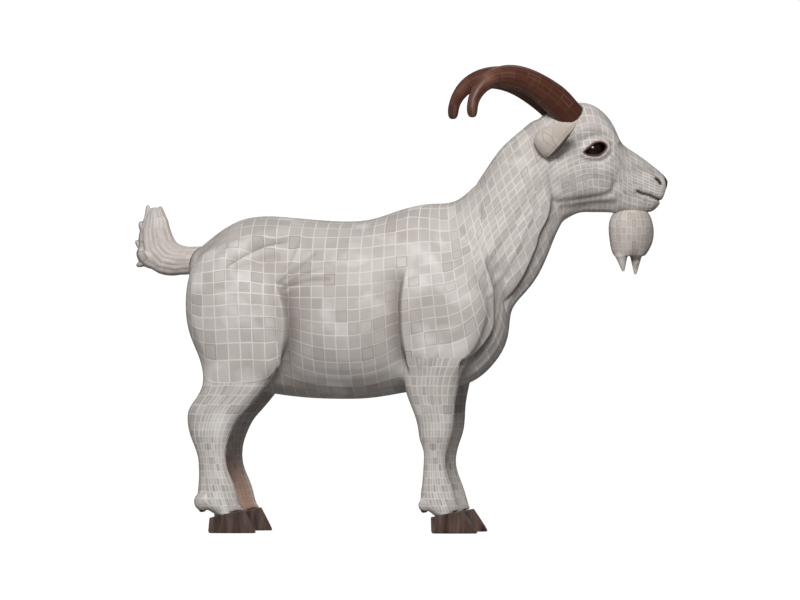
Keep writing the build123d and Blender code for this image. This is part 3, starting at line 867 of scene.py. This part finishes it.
for hand in ("right", "left"):
    ear = softened("ear_" + hand, 1.2 * MM, 8, ear_paint, ear_shape)
    points = points_of(ear)
    own_ear = to_head(points)
    flat = own_ear[:, [0, 2]] - EAR_LOW
    beyond = flat @ ear_out
    along = flat @ ear_edge / np.linalg.norm(EAR_TIP - EAR_LOW)
    # Painted shade: the cup's slit along the front edge, and a thin dark line just inside it.
    slit_painted_shade = smooth_step((beyond + 0.009) / 0.004) * smooth_step((0.85 - along) / 0.3)
    rim = np.exp(-((beyond + 0.012) / 0.002) ** 2) * 0.25
    values = np.stack([along * 5, np.abs(own_ear[:, 1]) * 60, np.full(len(points), 0.018),
                       np.full(len(points), 0.016)], 1)
    set_grid(ear, values, 1000, np.clip(rim, 0, 1), slit_painted_shade * 0.9)

# The beard's grid runs round it, and the fork between its two points is darkened with painted shade.
BEARD_CELLS = 22
BEARD_CELL = 16 * MM
beard = softened("beard", 1.6 * MM, 4, beard_paint)
low, high = (np.array(v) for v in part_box("beard"))
points = points_of(beard)
arm = points - (low + high) / 2
turn = np.arctan2(arm[:, 1], arm[:, 0]) / (2 * math.pi) * BEARD_CELLS
values = np.stack([points[:, 2] / BEARD_CELL, turn, np.full(len(points), BEARD_CELL),
                   np.hypot(arm[:, 0], arm[:, 1]) * 2 * math.pi / BEARD_CELLS], 1)
fork_painted_shade = smooth_step((0.628 - points[:, 2]) / 0.03) * smooth_step((points[:, 2] - 0.585) / 0.02)
fork_painted_shade *= np.exp(-((to_head(points)[:, 0] - 0.511) / 0.010) ** 2)
set_grid(beard, values, BEARD_CELLS, fork_painted_shade * 0.75)

# Hair on the tail: strands along it, a ragged edge behind and a filled crown between its two points.
TAIL_LINE = np.array([(-425, 0, 604), (-462, 0, 602), (-492, 0, 600), (-520, 0, 606), (-540, 0, 628),
                      (-546, 0, 660), (-546, 0, 730)]) * MM
TAIL_STRANDS = 15
TAIL_CELL = 24 * MM
tail_lumps = [
    lump((-0.546, 0, 0.690), (0.026, 0.017, 0.022), math.pi / 2),
    lump((-0.556, 0, 0.608), (0.034, 0.022, 0.027), math.radians(150)),
    lump((-0.582, 0, 0.632), (0.014, 0.009, 0.006), math.radians(125)),
    lump((-0.576, 0, 0.672), (0.014, 0.010, 0.007), math.radians(108)),
    lump((-0.574, 0, 0.592), (0.016, 0.010, 0.007), math.radians(200)),
    lump((-0.505, 0, 0.582), (0.050, 0.018, 0.014), math.radians(172)),
]


def tail_waves(grid):
    """Height of the strands of hair, from the tail's grid coordinates."""
    turn, metres = grid[:, 1], grid[:, 0] * grid[:, 2]
    slow = 0.6 * np.sin(2 * math.pi * (turn * 0.37 + metres * 9))
    return np.sin(2 * math.pi * turn) + slow


def tail_shape(points, normals):
    """Raises the strands, more towards the tail's end."""
    waves = tail_waves(line_grid(points, TAIL_LINE, TAIL_STRANDS, TAIL_CELL))
    loose = smooth_step((-0.455 - points[:, 0]) / 0.05)
    return points + normals * (0.5 * MM * waves * loose)[:, None]


tail = softened("tail", 1.6 * MM, 4, tail_paint, tail_shape, tail_lumps)
points = points_of(tail)
values = line_grid(points, TAIL_LINE, TAIL_STRANDS, TAIL_CELL)
# Painted shade in the troughs between the strands.
set_grid(tail, values, TAIL_STRANDS, smooth_step((-tail_waves(values) - 0.7) / 1.2) * 0.3)

# Eyelid edges are thin tubes that follow the opening, lying on the skin.
LID_RADIUS = 1.6 * MM
LID_SIDES = 8
head_tree = BVHTree.FromPolygons([Vector(p) for p in own + turn_z(normals * move[:, None], -HEAD_TURN)],
                                 [tuple(q) for q in quads])
for hand, sign in (("right", -1), ("left", 1)):
    path = []
    for x, z in opening:
        spot = head_tree.ray_cast(Vector((x, sign * 0.2, z)), Vector((0, -sign, 0)), 0.2)[0]
        path.append(np.array(spot) if spot else np.array((x, sign * 0.062, z)))
    path = np.array(path)
    path[:, 1] = (np.roll(path[:, 1], 1) + path[:, 1] + np.roll(path[:, 1], -1)) / 3
    points, faces = [], []
    count = len(path)
    for i in range(count):
        along = path[(i + 1) % count] - path[i - 1]
        along /= np.linalg.norm(along)
        outward = np.array([0.0, sign, 0.0])
        outward -= along * (outward @ along)
        outward /= np.linalg.norm(outward)
        across = np.cross(along, outward)
        for j in range(LID_SIDES):
            angle = 2 * math.pi * j / LID_SIDES
            reach = across * math.cos(angle) + outward * math.sin(angle)
            points.append(path[i] + reach * LID_RADIUS)
            k = (j + 1) % LID_SIDES
            here, after = i * LID_SIDES, (i + 1) % count * LID_SIDES
            faces.append((here + j, here + k, after + k, after + j))
    points = turn_z(np.array(points) - pivot, HEAD_TURN) + pivot
    lid = make_mesh("eyelid_" + hand, points, faces)
    lid.data.polygons.foreach_set("use_smooth", np.ones(len(faces), bool))
    lid.data.materials.append(lid_paint)
    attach(lid, "root")
    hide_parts("head_shell")

for hand in ("right", "left"):
    node = "eye_" + hand
    low, high = (np.array(v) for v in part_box(node))
    centre, radius = (low + high) / 2, (high[2] - low[2]) / 2
    mesh = bpy.data.meshes.new(node + "_glass")
    shape = bmesh.new()
    bmesh.ops.create_icosphere(shape, subdivisions=5, radius=radius)
    bmesh.ops.translate(shape, verts=shape.verts, vec=Vector(centre))
    shape.to_mesh(mesh)
    shape.free()
    obj = bpy.data.objects.new(node + "_glass", mesh)
    bpy.context.scene.collection.objects.link(obj)
    mesh.polygons.foreach_set("use_smooth", np.ones(len(mesh.polygons), bool))
    mesh.materials.append(eye_paint)
    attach(obj, "root")
    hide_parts(node)

for name, node in NODES.items():
    if any(word in name for word in ("rod_", "tube", "cross_bar")):
        paint = armature_paint
    elif "anchor" in name or "stud" in name:
        paint = zinc_paint
    else:
        continue
    node.data.materials.clear()
    node.data.materials.append(paint)


# ---------------------------------------------------------------- floor, light and camera
def studio():
    """Floor, sky and lamps. The camera sees floor and sky as white; they light the goat less."""
    floor_paint = plain_paint("floor", srgb(150, 150, 150), srgb(144, 144, 144), 2.0, 0.9, (1, 1, 1), 0.0)
    nodes, links = floor_paint.node_tree.nodes, floor_paint.node_tree.links
    ray = nodes.new("ShaderNodeLightPath")
    white = nodes.new("ShaderNodeEmission")
    white.inputs["Strength"].default_value = 1.1
    white_share = nodes.new("ShaderNodeMath")
    white_share.operation = "MULTIPLY"
    white_share.inputs[1].default_value = 0.94
    surface = nodes.new("ShaderNodeMixShader")
    links.new(ray.outputs["Is Camera Ray"], white_share.inputs[0])
    links.new(white_share.outputs[0], surface.inputs[0])
    links.new(nodes["Principled BSDF"].outputs[0], surface.inputs[1])
    links.new(white.outputs[0], surface.inputs[2])
    links.new(surface.outputs[0], nodes["Material Output"].inputs[0])
    floor = make_mesh("floor", [(-30, -30, 0), (30, -30, 0), (30, 30, 0), (-30, 30, 0)], [(0, 1, 2, 3)])
    floor.data.materials.append(floor_paint)
    world = bpy.data.worlds.new("studio")
    bpy.context.scene.world = world
    world.use_nodes = True
    tree = world.node_tree
    sky = tree.nodes["Background"]
    sky.inputs["Color"].default_value = (1.0, 1.0, 1.0, 1.0)
    path = tree.nodes.new("ShaderNodeLightPath")
    strength = tree.nodes.new("ShaderNodeMapRange")
    strength.inputs["To Min"].default_value = 0.19
    strength.inputs["To Max"].default_value = 1.05
    tree.links.new(path.outputs["Is Camera Ray"], strength.inputs["Value"])
    tree.links.new(strength.outputs[0], sky.inputs["Strength"])
    bpy.context.scene.view_settings.view_transform = "Standard"
    lamps = [
        ("key", (0.5, -3.1, 2.6), 1.1, 140),
        ("fill", (-2.6, -2.4, 1.8), 2.0, 10),
        ("rim", (0.2, 1.6, 3.0), 1.8, 10),
    ]
    for name, place, size, power in lamps:
        lamp = bpy.data.lights.new(name, "AREA")
        lamp.size = size
        lamp.energy = power
        obj = bpy.data.objects.new(name, lamp)
        obj.location = place
        obj.rotation_euler = (Vector((0, 0, 0.5)) - Vector(place)).to_track_quat("-Z", "Y").to_euler()
        bpy.context.scene.collection.objects.link(obj)


def camera(azimuth=8.0, distance=20.0, aim=(0.0, 0.0, 0.511), lens=409.0):
    """A long lens from far off, level with the goat's middle and a little ahead of side-on."""
    data = bpy.data.cameras.new("camera")
    data.lens = lens
    data.sensor_width = 36
    data.clip_end = 200
    obj = bpy.data.objects.new("camera", data)
    angle = math.radians(azimuth)
    obj.location = (aim[0] + math.sin(angle) * distance, aim[1] - math.cos(angle) * distance, aim[2])
    obj.rotation_euler = (math.pi / 2, 0, angle)
    bpy.context.scene.collection.objects.link(obj)
    bpy.context.scene.camera = obj


studio()
camera()
